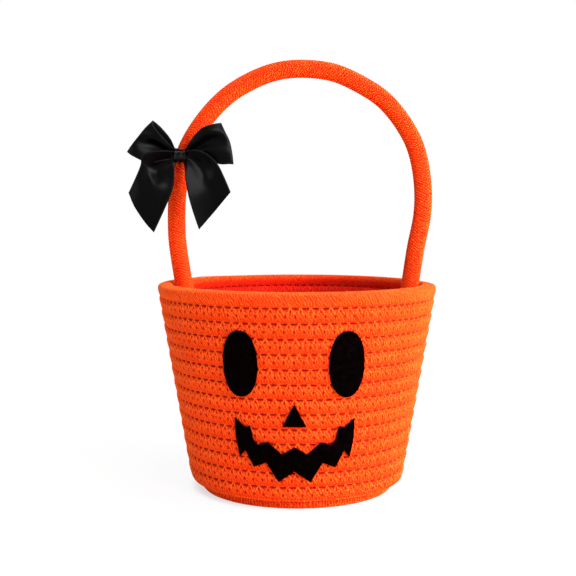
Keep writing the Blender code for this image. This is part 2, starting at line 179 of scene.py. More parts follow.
# Ribbons: rows of points across them, from the knot outwards, in millimetres from the knot
RIBBON_THICKNESS = 0.35 * MM
RIBBON_STEPS = (8, 6)
LOOP_LEFT = (
    ((-4.6, -13.6, 2.9), (-4.6, -12.6, 1.6), (-4.6, -13.8, 0.2),
     (-4.6, -12.6, -1.2), (-4.6, -13.4, -2.6)),
    ((-8.6, -17.0, 7.0), (-9.6, -16.6, 4.6), (-10.6, -13.4, 2.4),
     (-11.4, -14.6, -0.8), (-12.0, -15.0, -4.2)),
    ((-13.0, -19.2, 12.0), (-15.2, -18.6, 8.6), (-17.6, -13.6, 6.4),
     (-19.4, -15.4, 0.6), (-21.0, -16.4, -5.4)),
    ((-16.8, -18.6, 16.6), (-20.0, -18.4, 12.4), (-24.0, -15.4, 8.0),
     (-27.6, -17.0, 2.8), (-30.2, -17.2, -1.6)),
    ((-18.2, -15.6, 20.4), (-22.8, -16.4, 15.9), (-27.2, -16.0, 10.6),
     (-31.2, -16.0, 5.6), (-34.2, -15.2, 1.2)),
    ((-17.6, -12.8, 20.6), (-22.0, -12.6, 15.9), (-26.6, -12.4, 10.6),
     (-30.6, -12.4, 5.4), (-33.6, -12.6, 1.2)),
    ((-13.6, -10.9, 17.1), (-17.5, -10.8, 12.0), (-21.0, -10.8, 7.5),
     (-24.0, -10.8, 3.0), (-26.0, -10.9, -1.6)),
    ((-8.0, -10.5, 10.4), (-10.0, -10.4, 6.9), (-12.0, -10.4, 3.9),
     (-13.5, -10.4, 1.2), (-14.5, -10.5, -2.2)),
    ((-4.6, -10.4, 3.2), (-4.6, -10.4, 1.8), (-4.6, -10.4, 0.4),
     (-4.6, -10.4, -1.0), (-4.6, -10.4, -2.4)),
)
LOOP_RIGHT = (
    ((1.4, -13.2, 2.6), (1.4, -12.2, 1.6), (1.4, -13.2, 0.6),
     (1.4, -12.2, -0.6), (1.4, -12.8, -1.6)),
    ((6.2, -15.4, 9.6), (7.8, -15.6, 6.8), (9.0, -12.8, 4.2),
     (9.8, -13.6, 1.6), (10.2, -13.0, -1.2)),
    ((12.6, -16.6, 16.2), (14.4, -17.2, 12.6), (16.0, -13.4, 7.6),
     (16.8, -15.0, 3.2), (16.6, -14.0, -3.2)),
    ((19.0, -16.0, 18.6), (20.8, -16.8, 13.9), (22.6, -14.0, 8.9),
     (23.6, -15.4, 2.4), (23.4, -14.4, -6.2)),
    ((23.6, -14.6, 19.4), (26.0, -15.0, 13.8), (28.4, -14.2, 8.4),
     (30.0, -14.6, 1.4), (30.8, -14.2, -6.0)),
    ((23.8, -12.4, 19.4), (26.4, -12.2, 13.8), (29.0, -12.0, 8.3),
     (30.5, -12.0, 1.2), (31.2, -12.2, -6.2)),
    ((18.5, -10.9, 17.6), (20.0, -10.8, 12.8), (21.5, -10.8, 8.0),
     (22.5, -10.8, 2.0), (22.8, -10.9, -5.0)),
    ((11.0, -10.5, 13.6), (12.0, -10.4, 9.8), (12.8, -10.4, 6.0),
     (13.2, -10.4, 1.6), (13.4, -10.5, -2.2)),
    ((1.4, -10.4, 3.0), (1.4, -10.4, 1.9), (1.4, -10.4, 0.8),
     (1.4, -10.4, -0.2), (1.4, -10.4, -1.4)),
)
TAIL_LEFT = (
    ((-4.9, -15.0, 1.8), (-4.9, -14.4, 0.0), (-4.9, -14.8, -1.8),
     (-4.8, -14.2, -3.6), (-4.6, -14.4, -5.4)),
    ((-10.5, -18.6, 2.1), (-9.6, -16.4, -0.8), (-8.6, -13.8, -3.6),
     (-7.0, -15.0, -6.2), (-4.9, -14.8, -8.4)),
    ((-18.0, -20.6, 1.5), (-16.4, -17.2, -2.6), (-13.8, -13.2, -6.6),
     (-10.0, -14.4, -10.0), (-4.9, -15.2, -13.6)),
    ((-24.6, -20.2, -1.0), (-21.6, -17.0, -6.2), (-17.0, -13.6, -11.2),
     (-12.2, -15.6, -15.6), (-5.6, -15.2, -20.0)),
    ((-25.6, -18.6, -6.6), (-22.4, -16.8, -12.4), (-18.4, -17.4, -18.4),
     (-13.2, -17.0, -22.4), (-8.0, -14.8, -26.8)),
    ((-29.6, -16.4, -15.6), (-26.0, -17.2, -21.6), (-21.6, -17.2, -27.4),
     (-17.0, -16.4, -32.4), (-12.4, -14.2, -36.6)),
    ((-34.0, -13.8, -24.0), (-31.0, -14.8, -31.4), (-27.2, -15.0, -37.8),
     (-23.0, -14.2, -43.8), (-18.5, -12.6, -49.1)),
)
TAIL_RIGHT = (
    ((1.8, -15.2, 1.6), (1.8, -14.4, -0.2), (1.8, -14.8, -2.0),
     (1.6, -14.2, -3.8), (1.2, -14.6, -5.6)),
    ((6.0, -18.4, 2.4), (5.8, -15.8, -0.4), (5.2, -14.4, -3.0),
     (3.4, -16.2, -6.0), (1.7, -17.2, -9.0)),
    ((11.5, -20.4, 2.0), (11.2, -16.6, -2.6), (9.6, -14.2, -6.4),
     (5.8, -16.8, -10.6), (2.2, -19.0, -14.5)),
    ((17.5, -20.6, -1.2), (16.6, -16.4, -6.6), (13.8, -14.4, -12.0),
     (8.6, -17.2, -16.8), (3.3, -20.2, -21.5)),
    ((22.8, -19.4, -6.8), (20.6, -17.2, -12.6), (16.6, -16.0, -19.0),
     (11.0, -17.6, -25.0), (5.2, -20.0, -30.0)),
    ((27.0, -17.4, -15.4), (23.6, -16.2, -21.2), (18.6, -15.0, -28.0),
     (13.0, -16.2, -34.0), (7.8, -18.4, -39.0)),
    ((30.4, -16.4, -23.7), (25.4, -14.4, -29.5), (20.4, -13.2, -35.4),
     (15.4, -14.2, -41.2), (10.4, -16.4, -47.1)),
)

# Light that spreads inside the yarn: red reaches furthest
YARN_GLOW = {
    "Subsurface_Weight": 1.0,
    "Subsurface_Radius": (1.0, 0.30, 0.15),
    "Subsurface_Scale": 0.4 * MM,
}

# Loose fibres that stand off the yarn and catch light along its edges
YARN_FUZZ = {
    "Sheen_Weight": 0.12,
    "Sheen_Roughness": 0.3,
    "Sheen_Tint": (1.0, 0.45, 0.06, 1.0),
}

# Camera, from the photograph's perspective
SENSOR = 36.0
LENS = 64.46
CAMERA_PLACE = (-5.83 * MM, -666.1 * MM, 177.5 * MM)
CAMERA_DOWN = math.radians(4.27)

# Lamps: name, place in metres, size, power in watts and colour
LAMPS = (
    ("key_from_the_right", (1.28, -0.36, 0.50), 0.7, 33.0, (1.0, 1.0, 0.97)),
    ("fill_from_the_left", (-1.2, -0.7, 0.32), 0.8, 5.0, (1.0, 1.0, 1.0)),
    ("soft_from_above", (0.1, -0.02, 1.5), 0.9, 15.0, (1.0, 1.0, 1.0)),
    ("sheen_from_the_front", (0.62, -1.05, 0.74), 0.6, 18.0, (1.0, 1.0, 1.0)),
)
LAMPS_AIM = Vector((0.0, 0.0, 0.12))
WORLD_LEVEL = 0.18
WHITE = (1.0, 1.0, 1.0, 1.0)

# Floor: its size, its glow under the object and the radii over which it rises
FLOOR_SIZE = 4.0
FLOOR_GLOW = 0.63
FLOOR_RISES = ((0.062, 0.071, 0.30), (0.10, 0.34, 0.07))


class BasketSizes(bpy.types.PropertyGroup):
    """Sizes of the rope, the stitches and the ribbon."""

    rope_depth: bpy.props.FloatProperty(
        name="Rope depth", description="Half the rope's thickness across the wall",
        default=4.75 * MM, unit="LENGTH")
    rope_squareness: bpy.props.FloatProperty(
        name="Rope squareness", description="How square sewing has pressed the rope: 2 is round",
        default=6.0)
    rope_crown: bpy.props.FloatProperty(
        name="Rope crown", description="Share of its depth that the rope's face is rounded by",
        default=0.14)
    stitch_length: bpy.props.FloatProperty(
        name="Stitch length", description="Length of one zigzag along a seam",
        default=5.45 * MM, unit="LENGTH")
    strand: bpy.props.FloatProperty(
        name="Strand", description="Length of cord that each of its strands takes up",
        default=1.75 * MM, unit="LENGTH")
    thread: bpy.props.FloatProperty(
        name="Thread", description="Radius of the sewing thread",
        default=0.36 * MM, unit="LENGTH")
    handle_radius: bpy.props.FloatProperty(
        name="Handle radius", description="Radius of the handle's rope",
        default=5.7 * MM, unit="LENGTH")
    felt: bpy.props.FloatProperty(
        name="Felt", description="Thickness of the felt", default=1.4 * MM, unit="LENGTH")


class BasketColours(bpy.types.PropertyGroup):
    """Colours of the rope, with its painted shade and highlight, the felt and the ribbon."""

    rope: bpy.props.FloatVectorProperty(
        name="Rope", description="Colour of the rope's yarn", subtype="COLOR",
        default=(0.78, 0.052, 0.004))
    # Painted shade: the colour that the grooves between strands, the seams and the needle holes
    # are darkened to
    rope_shade: bpy.props.FloatVectorProperty(
        name="Rope in its grooves", description="Colour between the strands and in the seams",
        subtype="COLOR", default=(0.56, 0.008, 0.001))
    # Painted highlight: the colour that the strands' ridges and the upper part of each turn are
    # lightened to
    rope_highlight: bpy.props.FloatVectorProperty(
        name="Rope on its ridges", description="Colour of the fibres that stand out",
        subtype="COLOR", default=(0.87, 0.140, 0.013))
    # Painted shade: the yarn inside the basket is darker and redder than outside
    rope_inside_shade: bpy.props.FloatVectorProperty(
        name="Rope inside", description="Colour of the yarn that the light hasn't faded",
        subtype="COLOR", default=(0.64, 0.005, 0.0007))
    felt: bpy.props.FloatVectorProperty(
        name="Felt", description="Colour of the felt", subtype="COLOR",
        default=(0.0007, 0.0003, 0.0003))
    ribbon: bpy.props.FloatVectorProperty(
        name="Ribbon", description="Colour of the ribbon", subtype="COLOR",
        default=(0.0005, 0.0005, 0.0007))


def sizes():
    """Return the basket's sizes."""
    return bpy.context.scene.basket_sizes


def colours():
    """Return the basket's colours."""
    return bpy.context.scene.basket_colours


def opaque(colour, times=1.0, plus=0.0):
    """Return a colour, made lighter or darker, with its alpha."""
    return tuple(part * times + plus for part in colour) + (1.0,)


class Term:
    """A socket that takes part in sums, each of which adds a Math node."""

    def __init__(self, finish, socket):
        self.finish = finish
        self.socket = socket

    def maths(self, operation, *others):
        """Add a Math node whose first value is this one."""
        values = dict(enumerate((self, *others)))
        return self.finish.node("ShaderNodeMath", {"operation": operation}, values)

    def __add__(self, other):
        return self.maths("ADD", other)

    __radd__ = __add__

    def __mul__(self, other):
        return self.maths("MULTIPLY", other)

    __rmul__ = __mul__

    def __sub__(self, other):
        return self.maths("SUBTRACT", other)

    def __rsub__(self, other):
        return self.finish.node("ShaderNodeMath", {"operation": "SUBTRACT"}, {0: other, 1: self})

    def __abs__(self):
        return self.maths("ABSOLUTE")

    def squared(self):
        """Return the value times itself."""
        return self * self

    def fract(self):
        """Return what is left of the value past its whole number."""
        return self.maths("FRACT")

    def sine(self):
        """Return the sine of the value."""
        return self.maths("SINE")

    def least(self, other):
        """Return the smaller of two values."""
        return self.maths("MINIMUM", other)

    def most(self, other):
        """Return the larger of two values."""
        return self.maths("MAXIMUM", other)

    def between(self, low, high):
        """Return 0 below low and 1 above high, with a smooth rise."""
        settings = {"interpolation_type": "SMOOTHSTEP"}
        return self.finish.node("ShaderNodeMapRange", settings, {0: self, 1: low, 2: high})


class Finish:
    """A material built up node by node round one Principled shader."""

    def __init__(self, name):
        self.material = bpy.data.materials.new(name)
        self.material.use_nodes = True
        self.tree = self.material.node_tree
        self.shader = self.tree.nodes["Principled BSDF"]

    def node(self, kind, settings=None, values=None, output=0):
        """Add a node with its settings, then its values or links, and return one output."""
        made = self.tree.nodes.new(kind)
        for name, setting in (settings or {}).items():
            setattr(made, name, setting)
        for key, value in (values or {}).items():
            self.feed(made.inputs[key], value)
        return Term(self, made.outputs[output])

    def feed(self, socket, value):
        """Link a term to a socket, or set the socket to a plain value."""
        if isinstance(value, Term):
            self.tree.links.new(value.socket, socket)
        else:
            socket.default_value = value

    def surface(self, **values):
        """Set sockets of the Principled shader, with _ for the spaces in their names."""
        for name, value in values.items():
            self.feed(self.shader.inputs[name.replace("_", " ")], value)

    def place(self):
        """Return the place on the object."""
        return self.node("ShaderNodeTexCoord", output="Object")

    def uv(self, name):
        """Return the two parts of a UV map."""
        both = self.node("ShaderNodeUVMap", {"uv_map": name})
        return [self.node("ShaderNodeSeparateXYZ", {}, {0: both}, part) for part in (0, 1)]

    def grain(self, scale, detail):
        """Return noise about 0.5 at a number of grains to the metre."""
        values = {"Vector": self.place(), "Scale": scale, "Detail": detail}
        return self.node("ShaderNodeTexNoise", {}, values)

    def patches(self):
        """Return broad patches between 0.5 and 1."""
        return self.grain(45.0, 1.0).between(0.2, 0.8) * 0.5 + 0.5

    def mix(self, share, one, other):
        """Return a colour between two."""
        settings = {"data_type": "RGBA"}
        return self.node("ShaderNodeMix", settings, {0: share, 6: one, 7: other}, output=2)

    def bump(self, height, distance, strength):
        """Return a normal tilted by a height between 0 and 1."""
        values = {"Height": height, "Distance": distance, "Strength": strength}
        return self.node("ShaderNodeBump", {}, values)


def plait_height(along, across):
    """Return the height of a plaited cord, whose strands slant to and fro in columns."""
    share = across.fract()
    side = (across * 0.5).fract().between(0.495, 0.505) * 2.0 - 1.0
    strand = ((along + side * (share - 0.5) * HANDLE_SLOPE) * math.tau).sine() * 0.5 + 0.5
    return strand * (PLAIT_EDGE + (share * math.pi).sine() * PLAIT_RISE)


def stitch_hollows(stitch, down):
    """Return how far the surface sinks in the needle holes and in the seam, from 0 to 1."""
    length = sizes().stitch_length / MM
    from_lower = abs(stitch.fract() - 0.5) * length
    from_upper = length / 2 - from_lower
    lower = from_lower.squared() * 0.8 + (down - LOWER_HOLE_DOWN).squared() * 0.28
    upper = from_upper.squared() * 1.6 + (down - UPPER_HOLE_DOWN).squared()
    holes = lower.least(upper * 0.8)
    seam = from_lower.squared() * 0.16 + (down - SEAM_DOWN).squared()
    return 1.0 - holes.between(0.08, 0.55), 1.0 - seam.between(0.10, 0.80)


def cord_surface(finish, colour, height, relief):
    """Give a finish the yarn's soft surface."""
    finish.surface(
        Base_Color=colour, Roughness=0.85, Specular_IOR_Level=0.06,
        Normal=finish.bump(height, relief, 0.8), **YARN_GLOW, **YARN_FUZZ,
    )
    return finish.material


def sewn_cord_finish():
    """Return the orange cord of the basket: slanting strands, needle holes and pressed seams,
    with painted shade and highlights.
    """
    shades = colours()
    finish = Finish("orange_cord_sewn")
    along, round_rope = finish.uv("braid")
    stitch, down = finish.uv("stitch")
    wander = finish.grain(360.0, 2.0) - 0.5
    fibre = finish.grain(1300.0, 2.0)
    slant = STRANDS_PER_ROW / (PITCH / MM)
    strand = ((along + down * slant + wander * 2.4) * math.tau).sine() * 0.5 + 0.5
    hole, seam = stitch_hollows(stitch + wander * 0.05, down + wander * 0.7)
    height = strand * 0.6 + fibre * 0.4
    # The upper part of each turn and the rim's crest are painted lighter, as where light from
    # above falls, and the lower part darker
    rim = down.between(12.0, 14.0)
    upper_light = (down.between(0.2, 2.2) * (1.0 - down.between(3.6, 7.6))).most(rim * 0.7)
    # Painted shade between the strands
    shade = 0.15 + height.between(0.22, 0.62) * 0.65 + upper_light * 0.2
    colour = finish.mix(shade, opaque(shades.rope_shade), opaque(shades.rope))
    # Painted highlight on the strands' ridges, stronger on the upper part of each turn, in broad
    # patches
    lit = height.between(0.42, 0.85) * (upper_light * 0.8 + 0.15) * finish.patches()
    colour = finish.mix(lit, colour, opaque(shades.rope_highlight))
    # Painted shade in the needle holes and along the seams
    hollow_shade = (hole * 0.95).most(seam * 0.8)
    colour = finish.mix(hollow_shade, colour, opaque(shades.rope_shade, 0.55))
    # The side that faces into the basket is painted in shade, darker and redder, up to the crest
    # of the rim
    inner = round_rope.between(0.54, 0.62) * (1.0 - round_rope.between(0.92, 0.98))
    inner = inner * (1.0 - rim * (1.0 - down.between(19.5, 24.5)))
    dim, bright = opaque(shades.rope_inside_shade, 0.65), opaque(shades.rope_inside_shade)
    inside = finish.mix(height.between(0.25, 0.65), dim, bright)
    colour = finish.mix(inner * 0.9, colour, inside)
    return cord_surface(finish, colour, height - hole * 0.7 - seam * 0.5, 0.40 * MM)


def handle_cord_finish():
    """Return the orange cord of the handle: a plait whose strands meet in chevrons, with painted
    shade and highlights.
    """
    shades = colours()
    finish = Finish("orange_cord")
    along, across = finish.uv("braid")
    wander = finish.grain(420.0, 2.0) - 0.5
    fibre = finish.grain(1300.0, 2.0)
    height = plait_height(along + wander * 1.3, across) * 0.7 + fibre * 0.3
    # Painted shade between the plait's strands, and a painted highlight on their ridges
    shade = 0.25 + height.between(0.12, 0.62) * 0.75
    colour = finish.mix(shade, opaque(shades.rope_shade), opaque(shades.rope))
    lit = height.between(0.45, 0.95) * finish.patches() * 0.5
    colour = finish.mix(lit, colour, opaque(shades.rope_highlight))
    return cord_surface(finish, colour, height, 0.10 * MM)


def thread_finish(name, low, high):
    """Return the sewing thread: smoother and a little brighter than the cord."""
    finish = Finish(name)
    along, round_thread = finish.uv("braid")
    twist = ((along + round_thread) * math.tau).sine() * 0.5 + 0.5
    colour = finish.mix(twist, opaque(low), opaque(high))
    finish.surface(
        Base_Color=colour, Roughness=0.7, Specular_IOR_Level=0.12,
        Normal=finish.bump(twist, 0.08 * MM, 0.6), **YARN_GLOW,
    )
    return finish.material


def felt_finish():
    """Return black felt: matted fibres with a faint nap."""
    finish = Finish("black_felt")
    fibres = finish.grain(1900.0, 3.0)
    clumps = finish.grain(320.0, 2.0)
    height = fibres * 0.6 + clumps * 0.4
    dark, pale = opaque(colours().felt), opaque(colours().felt, 5.0)
    colour = finish.mix(height.between(0.45, 0.75), dark, pale)
    finish.surface(
        Base_Color=colour, Roughness=1.0, Specular_IOR_Level=0.0,
        Normal=finish.bump(height, 0.5 * MM, 0.9),
    )
    return finish.material


def satin_finish():
    """Return black satin ribbon: fine lengthwise ribs between two woven edges."""
    finish = Finish("black_satin")
    along, across = finish.uv("ribbon")
    ribs = (along * 900.0).sine() * 0.5 + 0.5
    edge = abs(across - 0.5).between(0.455, 0.475)
    weave = finish.grain(1500.0, 2.0)
    dark, pale = opaque(colours().ribbon), opaque(colours().ribbon, 3.0, 0.004)
    colour = finish.mix(edge * 0.8, dark, pale)
    rough = 0.30 + weave * 0.05 + edge * 0.2
    height = ribs * 0.3 + weave * 0.3 + edge * 0.6
    finish.surface(
        Base_Color=colour, Roughness=rough, Specular_IOR_Level=0.05,
        Normal=finish.bump(height, 0.05 * MM, 0.5),
    )
    return finish.material


def backdrop_rays(tree):
    """Return a socket that is 1 for camera, glossy and transmission rays."""
    rays = tree.nodes.new("ShaderNodeLightPath")
    seen = rays.outputs["Is Camera Ray"]
    for kind in ("Is Glossy Ray", "Is Transmission Ray"):
        most = tree.nodes.new("ShaderNodeMath")
        most.operation = "MAXIMUM"
        tree.links.new(seen, most.inputs[0])
        tree.links.new(rays.outputs[kind], most.inputs[1])
        seen = most.outputs[0]
    return seen


def floor_finish():
    """Return a white floor that keeps a soft shadow near the object."""
    finish = Finish("white_floor")
    rays = Term(finish, backdrop_rays(finish.tree))
    length = {"operation": "LENGTH"}
    centre = finish.node("ShaderNodeVectorMath", length, {0: finish.place()}, "Value")
    finish.surface(Base_Color=(0.9, 0.9, 0.9, 1.0), Roughness=1.0, Specular_IOR_Level=0.0)
    glow = finish.node("ShaderNodeEmission", {}, {"Color": WHITE, "Strength": 1.0})
    lit = Term(finish, finish.shader.outputs[0])
    near, far = (centre.between(low, high) * rise for low, high, rise in FLOOR_RISES)
    share = rays * (FLOOR_GLOW + (near + far))
    mixed = finish.node("ShaderNodeMixShader", {}, {0: share, 1: lit, 2: glow})
    finish.feed(finish.tree.nodes["Material Output"].inputs["Surface"], mixed)
    return finish.material


def finished(name, bm, material, smooth=True):
    """Turn a bmesh into a piece of the object with its material and slot."""
    mesh = bpy.data.meshes.new(name)
    bm.to_mesh(mesh)
    bm.free()
    if smooth:
        mesh.shade_smooth()
    piece = bpy.data.objects.new(name, mesh)
    mesh.materials.append(material)
    bpy.context.scene.collection.objects.link(piece)
    return piece


def laid_grid(along, across, place, layers, closed):
    """Lay a grid over a surface given by place(u, v), with UV maps, and close it as a tube."""
    bm = bmesh.new()
    bmesh.ops.create_grid(bm, x_segments=along, y_segments=across, size=0.5)
    maps = {name: bm.loops.layers.uv.new(name) for name in layers}
    for face in bm.faces:
        middle = face.calc_center_median()
        for loop in face.loops:
            u, v = loop.vert.co.x + 0.5, loop.vert.co.y + 0.5
            for name, rule in layers.items():
                loop[maps[name]].uv = rule(u, v, middle.y + 0.5)
    for vert in bm.verts:
        vert.co = place(vert.co.x + 0.5, vert.co.y + 0.5)
    if closed:
        bmesh.ops.remove_doubles(bm, verts=bm.verts, dist=0.002 * MM)
        bmesh.ops.holes_fill(bm, edges=[edge for edge in bm.edges if edge.is_boundary], sides=0)
        bmesh.ops.recalc_face_normals(bm, faces=bm.faces)
    return bm


def smooth_step(share):
    """Rise from 0 to 1 with level ends."""
    share = min(max(share, 0.0), 1.0)
    return share * share * (3.0 - 2.0 * share)


def signed_power(value, power):
    """Raise the size of a value to a power and keep its sign."""
    return math.copysign(abs(value) ** power, value)


class Station:
    """A place along the basket's rope, with its lean and the shape of its section there."""

    def __init__(self, turn, radius, height, lean=0.0, thickness=1.0):
        self.outward = Vector((math.cos(turn), math.sin(turn), 0.0))
        self.radius = radius
        self.height = height
        self.centre = self.outward * radius + Vector((0.0, 0.0, height))
        self.lean = lean
        self.thickness = thickness
        # Shares of its usual height above its centre, and of its width on either side
        self.crest = 1.0
        self.spread = {1.0: 1.0, -1.0: 1.0}

    def axes(self):
        """Return the directions out of the wall and up along it."""
        up = Vector((0.0, 0.0, 1.0))
        out = self.outward * math.cos(self.lean) - up * math.sin(self.lean)
        return out, self.outward * math.sin(self.lean) + up * math.cos(self.lean)


def rope_start():
    """Return the first bend of the rope, which starts on the axis and turns back."""
    square = math.pi / 2
    hook_centre = Vector((HOOK_ACROSS, TIP.y - HOOK_RADIUS, 0.0))
    hook_start = Vector((HOOK_ACROSS, TIP.y, 0.0))
    turned = CLIMB_START - square
    stations = []
    path = [(TIP.lerp(hook_start, k / TIP_STEPS), square) for k in range(TIP_STEPS)]
    for k in range(HOOK_STEPS + 1):
        angle = square - math.pi * k / HOOK_STEPS
        place = hook_centre + Vector((math.cos(angle), math.sin(angle), 0.0)) * HOOK_RADIUS
        path.append((place, angle))
    cos, sin = math.cos(turned), math.sin(turned)
    for place, angle in path:
        station = Station(angle + turned, 0.0, BASE_HEIGHT)
        x, y = place.x * cos - place.y * sin, place.x * sin + place.y * cos
        station.centre = Vector((x, y, BASE_HEIGHT))
        stations.append(station)
    end_radius = path[-1][0].length
    lead = TURN_STEPS // 2
    for k in range(1, lead):
        grown = end_radius + (FIRST_TURN_RADIUS - end_radius) * smooth_step(k / lead)
        turn = CLIMB_START + math.pi * (1.0 - k / lead)
        stations.append(Station(turn, grown, BASE_HEIGHT))
    return stations


def rope_line():
    """Return the rope's stations and the place where its wall begins."""
    base_edge = BOTTOM_ROW_RADIUS - CORNER_STEP * math.cos(CORNER_ANGLE)
    base_pitch = (base_edge - FIRST_TURN_RADIUS) / BASE_TURNS
    stations = rope_start()
    step_angle = math.tau / TURN_STEPS
    for turn in range(BASE_TURNS):
        for j in range(TURN_STEPS):
            climb = smooth_step(j * step_angle / INNER_SPANS[turn])
            radius = FIRST_TURN_RADIUS + base_pitch * (turn + climb)
            stations.append(Station(CLIMB_START - j * step_angle, radius, BASE_HEIGHT))
    wall_start = len(stations)
    for row in range(WALL_ROWS):
        for j in range(TURN_STEPS):
            climb = smooth_step(j * step_angle / CLIMB_SPAN)
            below = stations[-TURN_STEPS]
            angle, step, lean = WALL_ANGLE, PITCH, WALL_LEAN
            if row == 0:
                angle = CORNER_ANGLE * climb
                step = PITCH + (CORNER_STEP - PITCH) * climb
                lean = WALL_LEAN * climb
            elif row == 1:
                angle = CORNER_ANGLE + (WALL_ANGLE - CORNER_ANGLE) * climb
                step = CORNER_STEP + (PITCH - CORNER_STEP) * climb
            radius = below.radius + step * math.cos(angle)
            height = below.height + step * math.sin(angle)
            stations.append(Station(CLIMB_START - j * step_angle, radius, height, lean))
    top = stations[-1].height + PITCH / 2
    for j in range(TURN_STEPS // 6):
        below = stations[-TURN_STEPS]
        thickness = (top - below.height - PITCH / 2) / PITCH
        if thickness < THINNEST_END:
            break
        step = PITCH * (1.0 + thickness) / 2
        radius = below.radius + step * math.cos(WALL_ANGLE)
        height = below.height + step * math.sin(WALL_ANGLE)
        turn = CLIMB_START - j * step_angle
        stations.append(Station(turn, radius, height, WALL_LEAN, thickness))
    # Nothing is sewn on top of the last turn, whose upper half is lower
    for k, station in enumerate(stations[-TURN_STEPS:]):
        station.crest = 1.0 - RIM_DROP * smooth_step(k / RIM_DROP_STEPS)
    close_base(stations[:wall_start])
    return stations, wall_start


def close_base(base):
    """Widen the base's rope where its turns climb apart, so that they still meet."""
    depth = sizes().rope_depth
    nearest, furthest = NEXT_TURN_PITCHES
    for i, station in enumerate(base):
        along = Vector((-station.outward.y, station.outward.x, 0.0))
        others = base[:max(i - NEXT_TURN_STEPS, 0)] + base[i + NEXT_TURN_STEPS + 1:]
        for side in station.spread:
            beside = NEXT_TURN_BESIDE
            for other in others:
                away = other.centre - station.centre
                across = away.dot(station.outward) * side
                apart = abs(away.dot(along))
                if apart < beside and nearest < across / PITCH < furthest:
                    beside = apart
                    station.spread[side] = max(1.0, (across / 2 + NEXT_TURN_OVERLAP) / depth)


def lengths_along(points):
    """Return the length of a line up to each of its points."""
    lengths = [0.0]
    for one, other in zip(points, points[1:]):
        lengths.append(lengths[-1] + (other - one).length)
    return lengths


def rope_out(up):
    """Return how far the pressed rope's face stands out at a share of its half height."""
    size = sizes()
    square = max(1.0 - abs(up) ** size.rope_squareness, 0.0) ** (1.0 / size.rope_squareness)
    return size.rope_depth * square * (1.0 - size.rope_crown * up * up)


def rope_corner(station, share):
    """Return a point on the rope's pressed section, from its underside round over its face."""
    turn = math.tau * share
    power = 2.0 / sizes().rope_squareness
    up_share = -signed_power(math.cos(turn), power)
    side = math.copysign(1.0, math.sin(turn))
    out = side * rope_out(up_share) * station.spread[side]
    crest = station.crest if up_share > 0.0 else 1.0
    up = up_share * PITCH * HALF_ROPE * station.thickness * crest
    direction, rise = station.axes()
    place = station.centre + direction * out + rise * up
    place.z = max(place.z, 0.0)
    return place


def rope_piece(name, line, start, stop, sides, material):
    """Wrap the cord round a stretch of the rope's line."""
    stations, lengths, before = (part[start:stop] for part in line)
    # The base's turns lie side by side, so their seams are on its sides
    quarter = 0.0 if start else BASE_SEAM_TURN
    rim_start = len(line[0]) - TURN_STEPS
    last = len(stations) - 1
    stitch = sizes().stitch_length
    power = 2.0 / sizes().rope_squareness

    def place(u, v):
        return rope_corner(stations[round(u * last)], v % 1.0)

    def braid(u, v, face_v):
        turns = v + quarter - (face_v + quarter >= 1.0)
        return lengths[round(u * last)] / sizes().strand, turns

    def needle(u, v, face_v):
        at = round(u * last)
        height = signed_power(math.cos(math.tau * (v + quarter)), power) * PITCH / 2
        low = math.cos(math.tau * (face_v + quarter)) > LOWER_FACE
        under_corner = not start and at + TURN_STEPS > last
        above_corner = start and at < TURN_STEPS and low
        if under_corner or above_corner:
            # The corner's own stitches are out of sight
            return lengths[at] / stitch, PLAIN_DOWN
        if low:
            return before[at] / stitch, (height - PITCH / 2) / MM
        if at + start > rim_start:
            return lengths[at] / stitch, (PITCH * RIM_ROWS_DOWN + height) / MM
        return lengths[at] / stitch, (PITCH / 2 + height) / MM

    layers = {"braid": braid, "stitch": needle}
    bm = laid_grid(last, sides, place, layers, True)
    return finished(name, bm, material)


def thread_piece(name, points, material):
    """Run a round thread through points, with its twist on the braid map."""
    radius = sizes().thread
    frames = []
    last = len(points) - 1
    side = None
    for i, point in enumerate(points):
        along = (points[min(i + 1, last)] - points[max(i - 1, 0)]).normalized()
        if side is None:
            side = along.orthogonal().normalized()
        side = (side - along * side.dot(along)).normalized()
        frames.append((side, along.cross(side)))

    def place(u, v):
        at = round(u * last)
        turn = math.tau * v
        one, other = frames[at]
        return points[at] + (one * math.cos(turn) + other * math.sin(turn)) * radius

    def twist(u, v, _):
        return u * last * THREAD_TWIST, v

    bm = laid_grid(last, THREAD_SIDES, place, {"braid": twist}, True)
    return finished(name, bm, material)


def seam_points(stations, lengths, first, last, side):
    """Return the zigzag thread's points over the seams above a stretch of stations."""
    size = sizes()
    points = []
    # Each stitch: share of its length, rows below the seam, and how far it stands out in mm
    leg = ((0.05, -0.07, 0.10), (0.12, 0.05, 0.16), (0.25, 0.20, 0.08), (0.38, 0.35, -0.10))
    back = tuple((1.0 - share, down, proud) for share, down, proud in reversed(leg))
    beats = ((0.0, -0.13, -0.5), *leg, (0.5, 0.48, -0.9), *back)
    start = math.ceil(lengths[first] / size.stitch_length)
    at = first
    count = int((lengths[last] - lengths[first]) / size.stitch_length) - 1
    for stitch in range(start, start + count):
        for share, down, proud in beats:
            wanted = (stitch + share) * size.stitch_length
            while at < last and lengths[at + 1] < wanted:
                at += 1
            part = (wanted - lengths[at]) / (lengths[at + 1] - lengths[at])
            low, high = stations[at], stations[at + TURN_STEPS]
            low_centre = low.centre.lerp(stations[at + 1].centre, part)
            high_centre = high.centre.lerp(stations[at + 1 + TURN_STEPS].centre, part)
            gap = high_centre - low_centre
            outward = (low.axes()[0] + high.axes()[0]) * side
            outward = (outward - gap * outward.dot(gap) / gap.length_squared).normalized()
            depth = max(rope_out(1.0 - 2.0 * abs(down)), size.rope_depth * THREAD_DEPTH)
            depth += proud * MM
            middle = (low_centre + high_centre) / 2
            points.append(middle - gap * down + outward * depth)
    return points


